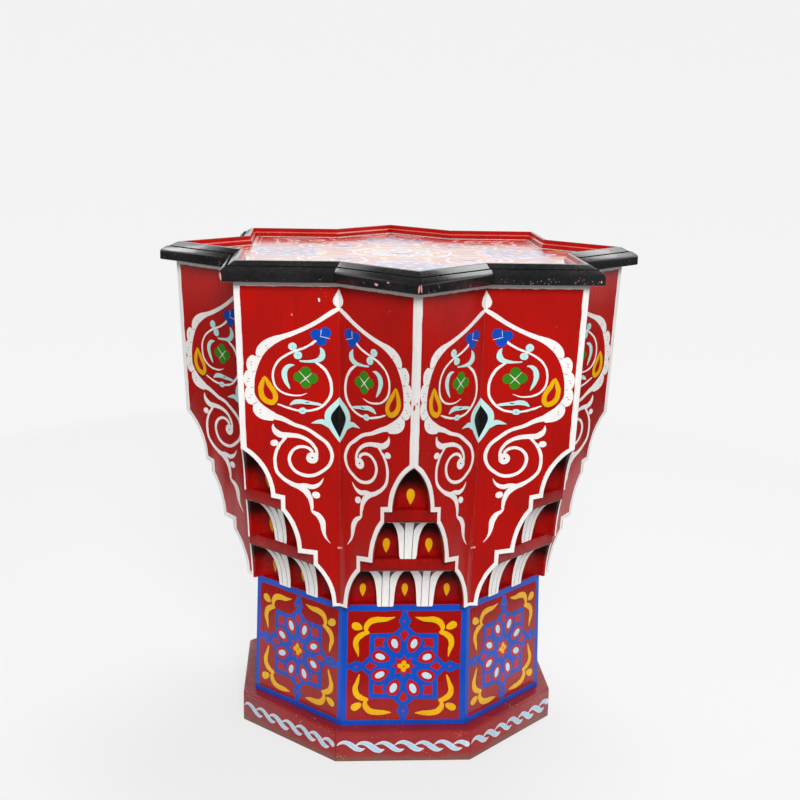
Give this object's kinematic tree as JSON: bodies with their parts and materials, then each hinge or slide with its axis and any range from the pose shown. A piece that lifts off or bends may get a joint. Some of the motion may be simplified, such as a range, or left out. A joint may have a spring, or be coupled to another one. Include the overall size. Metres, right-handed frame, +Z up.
{
  "type": "star side table",
  "caption": "Low painted wooden side table with a sunken star-shaped tray top, star-plan body over stepped niches, octagonal pedestal and plinth.",
  "frame": {"origin": "on the floor under the middle of the table", "axes": "+Z up along the middle of the table; one star point looks along -Y, the others follow every 45 degrees"},
  "size_m": [0.5358, 0.5358, 0.5365],
  "materials": {
    "red_paint": "gloss oil paint on thin softwood boards, with painted ornament in white, blue, green and gold",
    "black_paint": "gloss black oil paint on a wooden moulding",
    "niche_paint": "gloss red paint in the niches, white piers",
    "pedestal_paint": "gloss red paint with a blue, white and gold geometric panel",
    "plinth_paint": "gloss red paint with a white and pale blue twisted rope",
    "tray_paint": "varnished paint, geometric star pattern in red, white, gold and pale blue",
    "bare_wood": "bare softwood"
  },
  "bodies": {
    "root": {"star_panel_1_right": "red_paint", "star_panel_1_left": "red_paint", "rim_moulding_1_right": "black_paint", "rim_moulding_1_left": "black_paint", "muqarnas_infill_1": "niche_paint", "pedestal_board_1": "pedestal_paint", "plinth_strip_1": "plinth_paint", "star_panel_2_right": "red_paint", "star_panel_2_left": "red_paint", "rim_moulding_2_right": "black_paint", "rim_moulding_2_left": "black_paint", "muqarnas_infill_2": "niche_paint", "pedestal_board_2": "pedestal_paint", "plinth_strip_2": "plinth_paint", "star_panel_3_right": "red_paint", "star_panel_3_left": "red_paint", "rim_moulding_3_right": "black_paint", "rim_moulding_3_left": "black_paint", "muqarnas_infill_3": "niche_paint", "pedestal_board_3": "pedestal_paint", "plinth_strip_3": "plinth_paint", "star_panel_4_right": "red_paint", "star_panel_4_left": "red_paint", "rim_moulding_4_right": "black_paint", "rim_moulding_4_left": "black_paint", "muqarnas_infill_4": "niche_paint", "pedestal_board_4": "pedestal_paint", "plinth_strip_4": "plinth_paint", "star_panel_5_right": "red_paint", "star_panel_5_left": "red_paint", "rim_moulding_5_right": "black_paint", "rim_moulding_5_left": "black_paint", "muqarnas_infill_5": "niche_paint", "pedestal_board_5": "pedestal_paint", "plinth_strip_5": "plinth_paint", "star_panel_6_right": "red_paint", "star_panel_6_left": "red_paint", "rim_moulding_6_right": "black_paint", "rim_moulding_6_left": "black_paint", "muqarnas_infill_6": "niche_paint", "pedestal_board_6": "pedestal_paint", "plinth_strip_6": "plinth_paint", "star_panel_7_right": "red_paint", "star_panel_7_left": "red_paint", "rim_moulding_7_right": "black_paint", "rim_moulding_7_left": "black_paint", "muqarnas_infill_7": "niche_paint", "pedestal_board_7": "pedestal_paint", "plinth_strip_7": "plinth_paint", "star_panel_8_right": "red_paint", "star_panel_8_left": "red_paint", "rim_moulding_8_right": "black_paint", "rim_moulding_8_left": "black_paint", "muqarnas_infill_8": "niche_paint", "pedestal_board_8": "pedestal_paint", "plinth_strip_8": "plinth_paint", "tray_board": "tray_paint", "middle_board": "niche_paint", "base_board": "bare_wood"}
  },
  "joints": []
}
